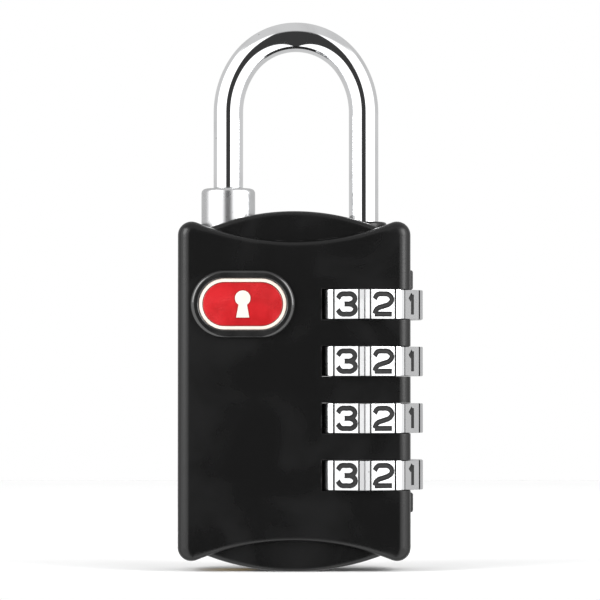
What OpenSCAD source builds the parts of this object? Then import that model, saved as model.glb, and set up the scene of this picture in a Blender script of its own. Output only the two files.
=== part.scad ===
// Four-dial travel padlock with a shackle release collar. Millimetres, +Z up, front face towards -Y.
// Drawn with z = 0 at the foot of the body, then moved so that the origin is the hasp seat, inside the shackle's crown.

/* [Body] */
// Width of the body
body_w = 30; // [26:0.5:40]
// Thickness of the body, front to back
body_t = 13; // [12.8:0.1:18]
// Height of the body between the tops of its two arches
body_h = 46.47; // [44:0.1:58]
// Radius of the arched top
top_arch_r = 29; // [27:0.5:45]
// Radius of the arched bottom
bottom_arch_r = 31.9; // [27:0.5:45]
// How far each face plate's curved edge stands back from its arch, at the middle
lens_rise = 3.92; // [3:0.1:4.5]
// Radius of each face plate's curved edge
lens_r = 34; // [31:0.5:50]
// Depth of the lens-shaped step under each arch
lens_depth = 1.2; // [0.6:0.1:1.3]
// Radius on the body's upright edges
edge_r = 1.6; // [0.8:0.1:2]
// Radius at the four corners seen from the front
corner_r = 1.75; // [1:0.1:2.2]

/* [Shackle] */
// Diameter of the shackle's bar
bar_d = 3.84; // [3.4:0.05:4.2]
// Distance between the centres of the two legs
leg_gap = 17.65; // [16.5:0.05:20]
// Clear height from the body's top to the inside of the crown
hasp_h = 21.03; // [18:0.5:40]
// Radius of the bend at each side of the crown
side_bend_r = 11; // [10.5:0.5:14]
// Angle that each side bend turns through
side_bend_a = 35; // [20:1:45]
// Travel of the shackle when the code is right
lift = 6; // [5.5:0.1:6.1]

/* [Dials] */
// Number of dials
dials = 4; // [4]
// Places round each dial
places = 10; // [10]
// Outer radius of a dial
dial_r = 7.95; // [7.6:0.05:8.2]
// Height of a dial
dial_h = 3.8; // [3.2:0.1:3.9]
// Distance between dial centres
pitch = 7.33; // [7.2:0.01:8.5]
// Height of the lowest dial's centre
dial_z = 12.41; // [12:0.05:15]
// How far the dial axis stands in from the right side of the body
axis_in = 5.95; // [5.7:0.05:7]
// Gap between a dial and its window, above and below
window_gap = 0.15; // [0.1:0.01:0.3]
// Gap between a dial and its window, all round
window_side = 0.55; // [0.4:0.05:0.9]
// Depth of a numeral's flat below the grip ridges
flat_depth = 0.35; // [0.2:0.05:0.5]
// Angle across one grip ridge
ridge_a = 12; // [8:1:16]

/* [Code] */
// Outer radius of a code sleeve
sleeve_r = 4.2; // [4:0.05:4.4]
// Inner radius of a code sleeve
sleeve_in_r = 3.1; // [3:0.05:3.3]
// Thickness of the web that stops a fin
web_t = 1; // [0.8:0.05:1.2]
// Radius of the spindle
spindle_r = 1.6; // [1.4:0.05:1.7]
// Reach of a fin from the spindle's axis
fin_r = 2.8; // [2.6:0.05:2.9]
// Width of a fin
fin_w = 1.2; // [1:0.05:1.6]
// Height of a fin
fin_h = 1.5; // [1.2:0.05:1.6]

/* [Release] */
// Outer radius of the collar
collar_r = 3.5; // [3.3:0.05:3.7]
// How far the collar stands above the body's arch at its peak
collar_up = 3.13; // [2.5:0.1:4]
// How far the tip of the short leg goes into the collar
tip_in = 3.2; // [2.5:0.1:3.3]
// How far the collar drops when the key turns
drop = 4; // [3.4:0.1:4]
// Radius of the key plug
plug_r = 2.8; // [2.7:0.05:2.9]
// Number of wafers
wafers_n = 5; // [3:1:5]
// Distance between wafers
wafer_pitch = 2.4; // [2:0.1:2.6]

/* [Badge] */
// Width of the badge
badge_w = 13.4; // [10:0.1:13.4]
// Height of the badge
badge_h = 8.7; // [6:0.1:9]
// How far the badge stands out
badge_out = 0.8; // [0.4:0.1:1]

/* [Fits] */
// Radial clearance of a running fit
fit = 0.06; // [0.03:0.01:0.09]
// Clearance between parts that only stand close
clear = 0.1; // [0.06:0.01:0.15]

/* [Hidden] */
$fn = 64;

bar_r = bar_d / 2;
half_w = body_w / 2;
half_t = body_t / 2;
// Dial axis, short leg and the middle of the shackle
dial_x = half_w - axis_in;
left_x = dial_x - leg_gap;
mid_x = (dial_x + left_x) / 2;
seat_z = body_h + hasp_h;
// Crown: two side bends and one crown bend, tangent to each other and to the legs
half_gap = leg_gap / 2;
bend_in = side_bend_r - half_gap;
crown_r = side_bend_r - bend_in / cos(side_bend_a);
crown_up = bend_in * tan(side_bend_a);
spring_z = seat_z + bar_r - crown_r - crown_up;
// Ears, where the face plate's curved edge meets the side
ear_sag = lens_r - sqrt(lens_r * lens_r - (half_w - corner_r) * (half_w - corner_r));
ear_tip = 0.12;
ear_top = body_h - lens_rise + ear_sag + ear_tip;
ear_bottom = lens_rise - ear_sag - ear_tip;
// Dial stack
dial_zs = [for (k = [0 : dials - 1]) dial_z + (dials - 1 - k) * pitch];
top_z = dial_zs[0];
window_h = dial_h + 2 * window_gap;
window_r = dial_r + window_side;
sleeve_h = pitch - 0.13;
web_z = sleeve_h / 2 - 0.2 - web_t;
web_hole_r = spindle_r + 0.35;
fin_z = web_z - clear - fin_h;
stack_top = top_z + sleeve_h / 2;
stack_bottom = dial_z - sleeve_h / 2;
flat_r = dial_r - flat_depth;
notch_r = 5.15;
notch_w = 1.3;
// Top guide of the long leg, and the cavity that the top fin rises into
fin_top = top_z + fin_z + fin_h + lift;
guide_z = fin_top + 0.05;
boss_z = body_h - 1.23;
boss_r = 3;
bar_end = stack_top + 0.2;
// Springs under the stack
seat_t = 0.7;
seat_top = stack_bottom - 0.06;
spring_floor = 4.2;
spring_r = 3.8;
foot_z = 7.2;
// Collar and key
collar_top = body_h + collar_up;
tip_z = collar_top - tip_in;
tip_r = bar_r - 0.25;
cup_z = tip_z - 0.3;
flange_r = 4.5;
flange_t = 1.2;
cam_low = 20.4;
cam_high = cam_low + drop;
flange_z = 37;
collar_cavity_top = 41.5;
collar_cavity_r = 4.7;
foot_w = 0.8;
foot_in = 1.6;
foot_out = 2.6;
// Angle that half a foot covers at its inner end
foot_a = asin(foot_w / 2 / foot_in);
cylinder_r = 4;
plug_top = 18.45;
plug_bottom = 2.3;
cylinder_bottom = 2.65;
wafer_z0 = 5;
wafer_t = 0.5;
wafer_x = 2.2;
wafer_y = 1.5;
// Blind pins between the halves: x, z
pin_r = 0.6;
pin_l = 9.4;
mid_pin_x = left_x + 6.9;
pin_at = [[-half_w + 1.5, 42.6], [half_w - 1.3, 41.3], [-half_w + 1.4, 6], [half_w - 1.3, 5.6], [mid_pin_x, 41.5], [mid_pin_x, 6]];
// Badge centre
badge_x = -6.6;
badge_z = top_z;

black = [0.05, 0.05, 0.055];
bright = [0.8, 0.8, 0.82];
steel = [0.55, 0.56, 0.58];
brass = [0.72, 0.57, 0.28];

// Puts a sub-part in the row's frame, with the origin at the hasp seat.
module framed() {
    translate([-mid_x, 0, -seat_z]) children();
}

// Stands a flat shape up in the XZ plane, from depth y0 to depth y1.
module upright(y0, y1) {
    translate([0, y1, 0]) rotate([90, 0, 0]) linear_extrude(height = y1 - y0) children();
}

module disc(r, z0, z1) {
    translate([0, 0, z0]) cylinder(r = r, h = z1 - z0);
}

// A round wire coil from z0 to z1, in one closed strip.
module coil(r, wire, z0, z1, turns, per = 20, sides = 6) {
    n = round(turns * per);
    rise = (z1 - z0 - 2 * wire) / n;
    points = [for (i = [0 : n], j = [0 : sides - 1])
        let (a = 360 * i / per, b = 360 * j / sides, q = r + wire * cos(b))
        [q * cos(a), q * sin(a), z0 + wire + i * rise + wire * sin(b)]];
    walls = [for (i = [0 : n - 1], j = [0 : sides - 1])
        let (a = i * sides + j, b = i * sides + (j + 1) % sides)
        [a, a + sides, b + sides, b]];
    start = [for (j = [0 : sides - 1]) j];
    finish = [for (j = [sides - 1 : -1 : 0]) n * sides + j];
    polyhedron(points = points, faces = concat(walls, [start, finish]), convexity = 6);
}

// ---- Body ----

// The body seen from the front, without the arches.
module plate_outline() {
    x = half_w - corner_r;
    difference() {
        union() {
            translate([-half_w, ear_bottom + corner_r]) square([body_w, ear_top - ear_bottom - 2 * corner_r]);
            translate([-x, ear_bottom]) square([2 * x, ear_top - ear_bottom]);
            for (sx = [-x, x], z = [ear_bottom + corner_r, ear_top - corner_r])
                translate([sx, z]) circle(r = corner_r);
        }
        translate([0, body_h - lens_rise + lens_r]) circle(r = lens_r);
        translate([0, lens_rise - lens_r]) circle(r = lens_r);
    }
}

// The arched middle of the body seen from the front.
module arch_outline() {
    intersection() {
        translate([-half_w, -1]) square([body_w, body_h + 2]);
        translate([0, body_h - top_arch_r]) circle(r = top_arch_r);
        translate([0, bottom_arch_r]) circle(r = bottom_arch_r);
    }
}

// The body seen from above.
module section() {
    x = half_w - edge_r;
    y = half_t - edge_r;
    square([2 * x, body_t], center = true);
    square([body_w, 2 * y], center = true);
    for (sx = [-x, x], sy = [-y, y]) translate([sx, sy]) circle(r = edge_r);
}

module body_solid() {
    intersection() {
        union() {
            upright(-half_t, half_t) plate_outline();
            upright(-half_t + lens_depth, half_t - lens_depth) arch_outline();
        }
        translate([0, 0, -1]) linear_extrude(height = body_h + 2) section();
    }
    translate([dial_x, 0, 0]) disc(boss_r, boss_z - 4, boss_z);
    // Marks beside the top and bottom dials, where the code is read
    for (z = [top_z + 2, dial_z - 4.91])
        translate([half_w - 0.5, -0.9, z]) cube([0.95, 1.8, 2.55]);
}

module dial_cavities() {
    translate([dial_x, 0, 0]) {
        for (z = dial_zs) disc(window_r, z - window_h / 2, z + window_h / 2);
        disc(sleeve_r + fit, seat_top - seat_t - 0.1, stack_top + 0.07);
        disc(spring_r, spring_floor, seat_top);
        disc(sleeve_in_r + 0.2, stack_top, guide_z);
        disc(bar_r + fit, guide_z - 1, boss_z + 1);
    }
    // Slot behind the dials for the detent leaf
    translate([dial_x - window_r - 1, -2.7, dial_z - 3.4]) cube([1.6, 5.4, top_z - dial_z + 6.8]);
}

module key_cavities() {
    translate([left_x, 0, 0]) {
        disc(plug_r + 0.5, -1, cylinder_bottom);
        disc(cylinder_r + 0.05, cylinder_bottom - 0.05, plug_top + 0.8);
        disc(3.2, plug_top, flange_z);
        disc(collar_cavity_r, flange_z - drop - 0.5, collar_cavity_top);
        disc(collar_r + fit, collar_cavity_top - 1, body_h + 1);
        // Keyways for the barrel's rib and the flange's tab
        translate([0, -0.85, 8]) cube([cylinder_r + 0.75, 1.7, 8.1]);
        translate([0, -0.75, flange_z - drop - 0.5]) cube([5.8, 1.5, drop + flange_t + 1]);
    }
}

module pin_holes() {
    for (p = pin_at) translate([p[0], pin_l / 2, p[1]]) rotate([90, 0, 0]) cylinder(r = pin_r, h = pin_l);
}

module housing_half(cut_y) {
    framed() difference() {
        body_solid();
        dial_cavities();
        key_cavities();
        pin_holes();
        badge_seat();
        translate([-50, cut_y, -50]) cube([100, 50, 150]);
    }
}

module front_housing() color(black) housing_half(0);

module rear_housing() color(black) housing_half(-50);

module housing_pins() color(steel) framed()
    for (p = pin_at) translate([p[0], pin_l / 2 - 0.1, p[1]]) rotate([90, 0, 0])
        cylinder(r = pin_r - 0.03, h = pin_l - 0.2);

// ---- Shackle ----

// A bend of the bar in the XZ plane, from angle a0 through angle a, about the origin.
module bend(r, a0, a, thin = 0) {
    rotate([90, 0, 0]) rotate([0, 0, a0]) rotate_extrude(angle = a) translate([r, 0]) circle(r = bar_r - thin);
}

module shackle() color(bright) framed() {
    tip_cut = 0.5;
    // The side bends run a degree into the legs and the crown, and are 0.01 mm thinner, so they fuse cleanly
    for (s = [-1, 1])
        translate([mid_x - s * bend_in, 0, spring_z])
            bend(side_bend_r, s > 0 ? -1 : 179 - side_bend_a, side_bend_a + 2, 0.01);
    translate([mid_x, 0, spring_z + crown_up]) bend(crown_r, side_bend_a, 180 - 2 * side_bend_a);
    // Short leg: full size above the collar, and a slightly thinner, chamfered tip inside it
    translate([left_x, 0, 0]) {
        disc(bar_r, collar_top + clear, spring_z);
        disc(tip_r, tip_z + tip_cut, collar_top + clear);
        translate([0, 0, tip_z]) cylinder(r1 = tip_r - tip_cut, r2 = tip_r, h = tip_cut);
    }
    // Long leg, spindle and fins
    translate([dial_x, 0, 0]) {
        disc(bar_r, bar_end, spring_z);
        disc(spindle_r, foot_z, bar_end);
        for (z = dial_zs) translate([spindle_r - 0.4, -fin_w / 2, z + fin_z]) cube([fin_r - spindle_r + 0.4, fin_w, fin_h]);
    }
}

module shackle_spring() color(steel) framed() translate([dial_x, 0, 0])
    coil(1.2, 0.17, spring_floor + 0.02, foot_z - 0.02, 6, 16, 5);

// ---- Dials and code sleeves ----

module dial(k) color(bright) framed() translate([dial_x, 0, dial_zs[k]]) {
    flat_w = 2 * dial_r * sin(180 / places - ridge_a / 2);
    difference() {
        cylinder(r = dial_r, h = dial_h, center = true);
        cylinder(r = sleeve_r + fit, h = dial_h + 1, center = true);
        for (i = [0 : places - 1]) rotate([0, 0, i * 360 / places]) {
            translate([flat_r, -flat_w / 2, -dial_h]) cube([1, flat_w, 2 * dial_h]);
            translate([3, -notch_w / 2, -dial_h]) cube([notch_r - 3, notch_w, 2 * dial_h]);
        }
    }
}

module code_sleeve(k) color(steel) framed() translate([dial_x, 0, dial_zs[k]]) {
    difference() {
        disc(sleeve_r, -sleeve_h / 2, sleeve_h / 2);
        disc(sleeve_in_r, -sleeve_h, web_z);
        disc(sleeve_in_r, web_z + web_t, sleeve_h);
        disc(web_hole_r, 0, sleeve_h);
        // Gate for the fin
        translate([spindle_r, -fin_w / 2 - 0.15, 0]) cube([fin_r + 0.15 - spindle_r, fin_w + 0.3, sleeve_h]);
    }
    // Key that turns with the dial
    translate([sleeve_r - 0.2, -notch_w / 2 + clear, -1.5]) cube([notch_r - clear - sleeve_r + 0.2, notch_w - 2 * clear, 3]);
}

module dial_1() dial(0);
module dial_2() dial(1);
module dial_3() dial(2);
module dial_4() dial(3);
module code_sleeve_1() code_sleeve(0);
module code_sleeve_2() code_sleeve(1);
module code_sleeve_3() code_sleeve(2);
module code_sleeve_4() code_sleeve(3);

module detent_spring() color(steel) framed() {
    leaf_t = 0.25;
    back_x = dial_x - window_r - 0.9;
    tip_x = dial_x - flat_r - 0.05;
    translate([back_x, -2.4, dial_z - 3.2]) cube([leaf_t, 4.8, top_z - dial_z + 6.4]);
    for (z = dial_zs) translate([0, 0, z - 1.1]) linear_extrude(height = 2.2)
        polygon([[back_x + leaf_t / 2, 2.4], [back_x + leaf_t, 2.4], [tip_x - 0.2, 0.9], [tip_x, 0.3], [tip_x, -0.3],
            [tip_x - 0.4, -0.9], [tip_x - 0.6, -0.7], [tip_x - leaf_t, -0.2], [tip_x - leaf_t, 0.25], [tip_x - 0.5, 0.75],
            [back_x + leaf_t / 2, 2.1]]);
}

module spring_seat() color(steel) framed() translate([dial_x, 0, 0]) difference() {
    disc(sleeve_r, seat_top - seat_t, seat_top);
    disc(spindle_r + 0.3, 0, stack_top);
}

module sleeve_spring() color(steel) framed() translate([dial_x, 0, 0])
    coil(3.3, 0.22, spring_floor + 0.02, seat_top - seat_t - 0.02, 4);

// ---- Release collar and key ----

module release_collar() color(bright) framed() translate([left_x, 0, 0]) {
    difference() {
        rotate_extrude() polygon([[0, flange_z], [flange_r, flange_z], [flange_r, flange_z + flange_t], [collar_r, flange_z + flange_t],
            [collar_r, collar_top - 0.4], [collar_r - 0.4, collar_top], [0, collar_top]]);
        disc(bar_r + fit, cup_z, collar_top + 1);
    }
    // Tab that keeps the collar from turning
    translate([flange_r - 0.5, -0.7, flange_z]) cube([1.6, 1.4, flange_t]);
    // Stem, and two feet that stand on the cam's ramps
    disc(1.5, cam_high + 1.6, flange_z);
    translate([-foot_out, -foot_w / 2, cam_high + 1.6]) cube([2 * foot_out, foot_w, 1.2]);
    for (s = [-1, 1]) translate([s > 0 ? foot_in : -foot_out, -foot_w / 2, cam_high + 0.05])
        cube([foot_out - foot_in, foot_w, 1.6]);
}

module collar_spring() color(steel) framed() translate([left_x, 0, 0])
    coil(4.05, 0.22, flange_z + flange_t + 0.02, collar_cavity_top - 0.02, 3);

module cylinder_housing() color(brass) framed() translate([left_x, 0, 0]) difference() {
    union() {
        disc(cylinder_r, cylinder_bottom, plug_top - 0.05);
        translate([cylinder_r - 0.5, -0.8, 8.05]) cube([1.2, 1.6, 8]);
    }
    disc(plug_r + fit, 0, plug_top + 1);
}

// Wafer heights
function wafer_at(i) = wafer_z0 + i * wafer_pitch;

module key_plug() color(brass) framed() translate([left_x, 0, 0]) difference() {
    union() {
        disc(plug_r, plug_bottom, plug_top);
        difference() {
            disc(1.6, plug_top - 0.1, plug_top + 0.8);
            difference() {
                disc(3, plug_top + 0.05, plug_top + 0.6);
                disc(1.2, plug_top, plug_top + 1);
            }
        }
        translate([-1, -1, plug_top + 0.7]) cube([2, 2, cam_low + 1.1 - plug_top - 0.7]);
    }
    // Keyway, wafer slots and spring pockets
    translate([-1.4, -0.45, 0]) cube([2.8, 0.9, wafer_at(wafers_n - 1) + 1.5]);
    for (i = [0 : wafers_n - 1]) translate([0, 0, wafer_at(i)]) {
        translate([-3, -wafer_y - 0.05, -wafer_t / 2 - 0.04]) cube([6, 2 * wafer_y + 0.1, wafer_t + 0.08]);
        translate([-1.3, 1.4, -0.36]) cube([2.8, 0.95, 0.72]);
    }
}

module wafers() color(brass) framed() translate([left_x, 0, 0])
    for (i = [0 : wafers_n - 1]) translate([0, 0, wafer_at(i) - wafer_t / 2]) difference() {
        union() {
            translate([-wafer_x, -wafer_y, 0]) cube([2 * wafer_x, 2 * wafer_y, wafer_t]);
            translate([0.9, 0, 0]) cube([0.45, 2.2, wafer_t]);
        }
        // Each wafer's window sits at its own place along the key
        translate([-1.2 + 0.2 * (i % 3), -0.6, -1]) cube([2.3, 1.2, 3]);
    }

module wafer_springs() color(steel) framed() translate([left_x, 1.95, 0])
    for (i = [0 : wafers_n - 1]) translate([0, 0, wafer_at(i)]) rotate([0, 90, 0])
        coil(0.22, 0.07, -1.25, 0.85, 5, 8, 5);

module plug_clip() color(steel) framed() translate([left_x, 0, plug_top + 0.1])
    rotate([0, 0, 40]) rotate_extrude(angle = 280) translate([1.25, 0]) square([2.2, 0.4]);

// Two ramps, half a turn apart, each falling by the collar's drop over a quarter turn.
module release_cam() color(steel) framed() translate([left_x, 0, 0]) {
    ring_in = 1.52;
    ring_out = 2.68;
    foot = cam_low - 0.5;
    // Clockwise from a foot's centre, seen from above: angle, height
    steps = concat([[-25, cam_high]], [for (a = [-foot_a : 6 : 90]) [a, cam_high - drop * (a + foot_a) / 90]],
        [for (a = [90 - foot_a + 1.5 : 11 : 150]) [a, cam_low - 0.1]], [[154, cam_low - 0.1]]);
    ring = concat(steps, [for (s = steps) [s[0] + 180, s[1]]]);
    n = len(ring);
    points = [for (s = ring, q = [[ring_in, 0], [ring_out, 0], [ring_out, 1], [ring_in, 1]])
        [q[0] * cos(s[0]), -q[0] * sin(s[0]), q[1] == 0 ? foot : max(s[1], cam_low - 0.1)]];
    faces = [for (i = [0 : n - 1], j = [0 : 3])
        let (a = 4 * i + j, b = 4 * i + (j + 1) % 4, c = 4 * ((i + 1) % n) + (j + 1) % 4, d = 4 * ((i + 1) % n) + j)
        each [[a, c, b], [a, d, c]]];
    polyhedron(points = points, faces = faces, convexity = 6);
    difference() {
        disc(ring_out + 0.02, plug_top + 0.95, cam_low);
        translate([-1.05, -1.05, 0]) cube([2.1, 2.1, 50]);
    }
}

// ---- Badge ----

// A stadium shape, inset from the badge's edge.
module stadium(inset) {
    r = badge_h / 2 - inset;
    x = (badge_w - badge_h) / 2;
    square([2 * x, 2 * r], center = true);
    for (s = [-x, x]) translate([s, 0]) circle(r = r);
}

module badge_seat() translate([badge_x, 0, badge_z]) upright(-half_t - 1, -half_t + 0.4) stadium(0.6);

module emblem_bezel() color(black) framed() translate([badge_x, 0, badge_z]) difference() {
    union() {
        upright(-half_t - badge_out, -half_t) stadium(0);
        upright(-half_t - 0.1, -half_t + 0.35) stadium(0.65);
    }
    upright(-half_t - badge_out - 1, -half_t - 0.1) stadium(1);
}

module emblem_border() color([0.93, 0.9, 0.82]) framed() translate([badge_x, 0, badge_z])
    upright(-half_t - badge_out + 0.2, -half_t - 0.1) difference() {
        stadium(1.05);
        stadium(1.5);
    }

module emblem_inlay() color([0.72, 0.05, 0.06]) framed() translate([badge_x, 0, badge_z])
    upright(-half_t - badge_out + 0.25, -half_t - 0.1) difference() {
        stadium(1.55);
        keyhole(0.03);
    }

module keyhole(grow) {
    translate([0, 0.75]) circle(r = 1 + grow);
    polygon([[-0.85 - grow, -1.75 - grow], [0.85 + grow, -1.75 - grow], [0.42 + grow, 0.6], [-0.42 - grow, 0.6]]);
}

module emblem_keyhole() color([0.93, 0.9, 0.82]) framed() translate([badge_x, 0, badge_z])
    upright(-half_t - badge_out + 0.15, -half_t - 0.1) keyhole(0);

front_housing();
rear_housing();
housing_pins();
shackle();
release_collar();
collar_spring();
cylinder_housing();
key_plug();
wafers();
wafer_springs();
plug_clip();
release_cam();
dial_1();
dial_2();
dial_3();
dial_4();
code_sleeve_1();
code_sleeve_2();
code_sleeve_3();
code_sleeve_4();
detent_spring();
spring_seat();
sleeve_spring();
shackle_spring();
emblem_bezel();
emblem_border();
emblem_inlay();
emblem_keyhole();
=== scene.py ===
import math

import bmesh
import bpy
from mathutils import Matrix, Vector


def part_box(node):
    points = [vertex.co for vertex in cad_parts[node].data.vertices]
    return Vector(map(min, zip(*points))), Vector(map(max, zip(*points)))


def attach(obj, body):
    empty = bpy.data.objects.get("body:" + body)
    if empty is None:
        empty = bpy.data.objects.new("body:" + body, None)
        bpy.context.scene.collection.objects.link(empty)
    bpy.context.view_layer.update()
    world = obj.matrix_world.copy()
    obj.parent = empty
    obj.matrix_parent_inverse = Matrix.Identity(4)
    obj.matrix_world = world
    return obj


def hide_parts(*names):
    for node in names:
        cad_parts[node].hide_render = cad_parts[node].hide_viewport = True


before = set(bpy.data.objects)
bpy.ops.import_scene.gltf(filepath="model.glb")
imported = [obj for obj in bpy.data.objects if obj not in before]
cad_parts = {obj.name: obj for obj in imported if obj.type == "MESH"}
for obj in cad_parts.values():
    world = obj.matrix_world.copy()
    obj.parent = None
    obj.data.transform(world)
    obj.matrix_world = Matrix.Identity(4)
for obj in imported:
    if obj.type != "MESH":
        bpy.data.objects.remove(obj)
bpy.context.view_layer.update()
print("frame loaded,", len(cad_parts), "parts")

mm = 0.001
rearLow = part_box("rear_housing")[0]

# what several pieces share, in mm: x from the body's middle, y from the seam, z from the body's foot
lock = {
    "halfWidth": 15.0,
    "halfThick": 6.5,
    "height": 46.47,
    "dialX": 9.05,
    "legX": -8.6,
    "pitch": 7.33,
    "lowestDial": 12.41,
    "badgeX": -6.6,
}
dialX, legX = lock["dialX"], lock["legX"]
dialHeights = [lock["lowestDial"] + (3 - k) * lock["pitch"] for k in range(4)]
place = Matrix.Translation((rearLow.x + lock["halfWidth"] * mm, 0, rearLow.z)) @ Matrix.Scale(mm, 4)


def vertsOf(geom):
    return [g for g in geom if isinstance(g, bmesh.types.BMVert)]


def facesOf(geom):
    return [g for g in geom if isinstance(g, bmesh.types.BMFace)]


def startAt(bm, point):
    return bmesh.ops.create_vert(bm, co=point)["vert"][0]


def runTo(bm, vert, *points):
    for point in points:
        vert = bmesh.ops.extrude_vert_indiv(bm, verts=[vert])["verts"][0]
        vert.co = point
    return vert


# about +y a positive turn is clockwise seen from the front
def arc(bm, vert, centre, degrees, steps, axis=(0, 1, 0)):
    turned = bmesh.ops.spin(bm, geom=[vert], cent=centre, axis=axis, dvec=(0, 0, 0),
                            angle=math.radians(degrees), steps=steps, use_merge=False,
                            use_normal_flip=False, use_duplicate=False)
    return vertsOf(turned["geom_last"])[0]


def closeOutline(bm):
    bmesh.ops.remove_doubles(bm, verts=bm.verts[:], dist=1e-3)
    return bmesh.ops.contextual_create(bm, geom=bm.edges[:])["faces"][0]


def push(bm, face, move):
    grown = bmesh.ops.extrude_face_region(bm, geom=[face])["geom"]
    bmesh.ops.translate(bm, vec=move, verts=vertsOf(grown))
    return facesOf(grown)[0]


def soften(bm, edges, width, segments=2, clamp=True):
    bmesh.ops.bevel(bm, geom=edges, offset=width, offset_type="OFFSET", segments=segments, profile=0.5,
                    affect="EDGES", material=-1, clamp_overlap=clamp)


# turns a chain of edges into a closed round piece about an upright axis at x
def lathe(bm, x, steps=96):
    bmesh.ops.spin(bm, geom=bm.verts[:] + bm.edges[:], cent=(x, 0, 0), axis=(0, 0, 1), dvec=(0, 0, 0),
                   angle=math.tau, steps=steps, use_merge=True, use_normal_flip=False, use_duplicate=False)
    bmesh.ops.remove_doubles(bm, verts=bm.verts[:], dist=1e-3)


def addDisc(bm, x, radius, low, high, segments=64):
    made = bmesh.ops.create_cone(bm, cap_ends=True, cap_tris=False, segments=segments, radius1=radius,
                                 radius2=radius, depth=high - low)
    bmesh.ops.translate(bm, vec=(x, 0, (low + high) / 2), verts=made["verts"])


def addBlock(bm, low, high):
    made = bmesh.ops.create_cube(bm, size=1)["verts"]
    bmesh.ops.scale(bm, vec=[b - a for a, b in zip(low, high)], verts=made)
    bmesh.ops.translate(bm, vec=[(a + b) / 2 for a, b in zip(low, high)], verts=made)
    return made


# ends the bmesh; without a finish the object is a cutting tool
def asObject(bm, name="tool", finish=None):
    bmesh.ops.recalc_face_normals(bm, faces=bm.faces[:])
    mesh = bpy.data.meshes.new(name)
    bm.to_mesh(mesh)
    bm.free()
    thing = bpy.data.objects.new(name, mesh)
    bpy.context.scene.collection.objects.link(thing)
    if finish:
        mesh.materials.append(finish)
    return thing


# leaves the mesh as its modifiers show it
def bake(thing):
    bpy.context.view_layer.update()
    view = bpy.context.evaluated_depsgraph_get()
    fresh = bpy.data.meshes.new_from_object(thing.evaluated_get(view))
    thing.modifiers.clear()
    thing.data = fresh
    return thing


def shape(thing, operation, tools, selfCrossing=False):
    for tool in tools:
        step = thing.modifiers.new(operation.lower(), "BOOLEAN")
        step.operation = operation
        step.object = tool
        step.solver = "EXACT"
        step.use_self = selfCrossing
        step.material_mode = "TRANSFER"
    bake(thing)
    for tool in tools:
        bpy.data.objects.remove(tool)
    return thing


def discTool(x, radius, low, high, segments=64):
    bm = bmesh.new()
    addDisc(bm, x, radius, low, high, segments)
    return asObject(bm)


def blockTool(low, high):
    bm = bmesh.new()
    addBlock(bm, low, high)
    return asObject(bm)


# takes a finished piece from mm to the row's frame and puts it on its body, in place of CAD nodes
def settle(thing, body, nodes, sharp=35):
    thing.data.transform(place)
    thing.data.shade_smooth()
    thing.data.set_sharp_from_angle(angle=math.radians(sharp))
    flatten = thing.modifiers.new("even flats", "WEIGHTED_NORMAL")  # no shading streaks on large faces
    flatten.keep_sharp = True
    bake(thing)
    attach(thing, body)
    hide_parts(*nodes)
    print("made", thing.name, len(thing.data.polygons), "faces")
    return thing


# shared effects, each a node group

def newGroup(name, inputs, outputs):
    group = bpy.data.node_groups.new(name, "ShaderNodeTree")
    for label, value in inputs.items():
        socket = group.interface.new_socket(label, in_out="INPUT", socket_type="NodeSocketFloat")
        socket.default_value = value
    for label in outputs:
        group.interface.new_socket(label, in_out="OUTPUT", socket_type="NodeSocketFloat")
    return group, group.nodes.new("NodeGroupInput"), group.nodes.new("NodeGroupOutput")


def addNode(tree, kind, links=None, **settings):
    made = tree.nodes.new(kind)
    for key, value in settings.items():
        setattr(made, key, value)
    for key, value in (links or {}).items():
        if isinstance(value, bpy.types.NodeSocket):
            tree.links.new(value, made.inputs[key])
        else:
            made.inputs[key].default_value = value
    return made


def math2(tree, operation, a, b=0.0, clamp=False):
    return addNode(tree, "ShaderNodeMath", {0: a, 1: b}, operation=operation, use_clamp=clamp).outputs[0]


def remap(tree, value, low, high, toLow=0.0, toHigh=1.0):
    links = {"Value": value, "From Min": low, "From Max": high, "To Min": toLow, "To Max": toHigh}
    return addNode(tree, "ShaderNodeMapRange", links, interpolation_type="SMOOTHSTEP").outputs["Result"]


def makeGrain():
    group, given, put = newGroup("surface grain", {"Scale": 2000.0, "Coarse": 0.3}, ["Height"])
    spot = addNode(group, "ShaderNodeTexCoord").outputs["Object"]
    scale = given.outputs["Scale"]
    fine = addNode(group, "ShaderNodeTexNoise", {"Vector": spot, "Scale": scale, "Detail": 4.0})
    slow = math2(group, "MULTIPLY", scale, 0.22)
    broad = addNode(group, "ShaderNodeTexNoise", {"Vector": spot, "Scale": slow, "Detail": 2.0})
    parts = {0: given.outputs["Coarse"], 2: fine.outputs[0], 3: broad.outputs[0]}
    group.links.new(addNode(group, "ShaderNodeMix", parts).outputs[0], put.inputs["Height"])
    return group


def makeHandling():
    group, given, put = newGroup("handling", {"Scale": 120.0, "Amount": 1.0}, ["Smudge", "Speck"])
    spot = addNode(group, "ShaderNodeTexCoord").outputs["Object"]
    links = {"Vector": spot, "Scale": given.outputs["Scale"], "Detail": 5.0, "Distortion": 0.6}
    patch = addNode(group, "ShaderNodeTexNoise", links)
    smudge = remap(group, patch.outputs[0], 0.38, 0.68)
    group.links.new(math2(group, "MULTIPLY", smudge, given.outputs["Amount"]), put.inputs["Smudge"])
    dots = addNode(group, "ShaderNodeTexVoronoi", {"Vector": spot, "Scale": 900.0})
    small = remap(group, dots.outputs["Distance"], 0.13, 0.05)
    some = remap(group, dots.outputs["Color"], 0.72, 0.8)
    group.links.new(math2(group, "MULTIPLY", math2(group, "MULTIPLY", small, some), given.outputs["Amount"]),
                    put.inputs["Speck"])
    return group


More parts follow.
